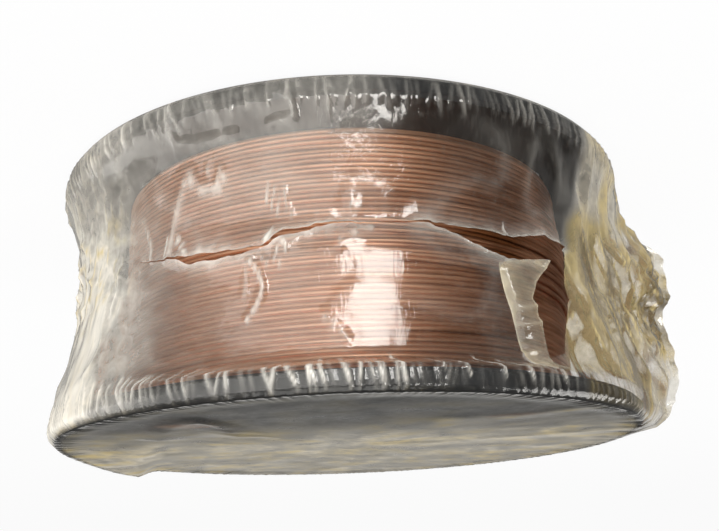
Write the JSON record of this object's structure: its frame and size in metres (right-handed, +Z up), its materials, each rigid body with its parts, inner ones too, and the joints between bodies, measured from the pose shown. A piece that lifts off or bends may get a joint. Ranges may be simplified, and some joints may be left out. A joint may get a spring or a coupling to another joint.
{
  "type": "spool of mig welding wire in shrink film",
  "caption": "Small plastic spool of copper-coated welding wire standing on one flange, wrapped in clear shrink film that is torn along the side and gathered at one end.",
  "frame": {"origin": "on the floor, at the middle of the face that the spool stands on, below the centre of the bore", "axes": "+Z up along the spool's axis, -X towards the gathered end of the film, the tear faces -Y"},
  "size_m": [0.111, 0.1008, 0.045],
  "materials": {
    "black_plastic": "moulded satin",
    "copper_coated_wire": "copper coat, bright drawn",
    "clear_film": "clear, glossy, hazy where creased"
  },
  "bodies": {
    "root": {"spool": "black_plastic", "wire_coil": "copper_coated_wire", "shrink_film": "clear_film"}
  },
  "joints": []
}
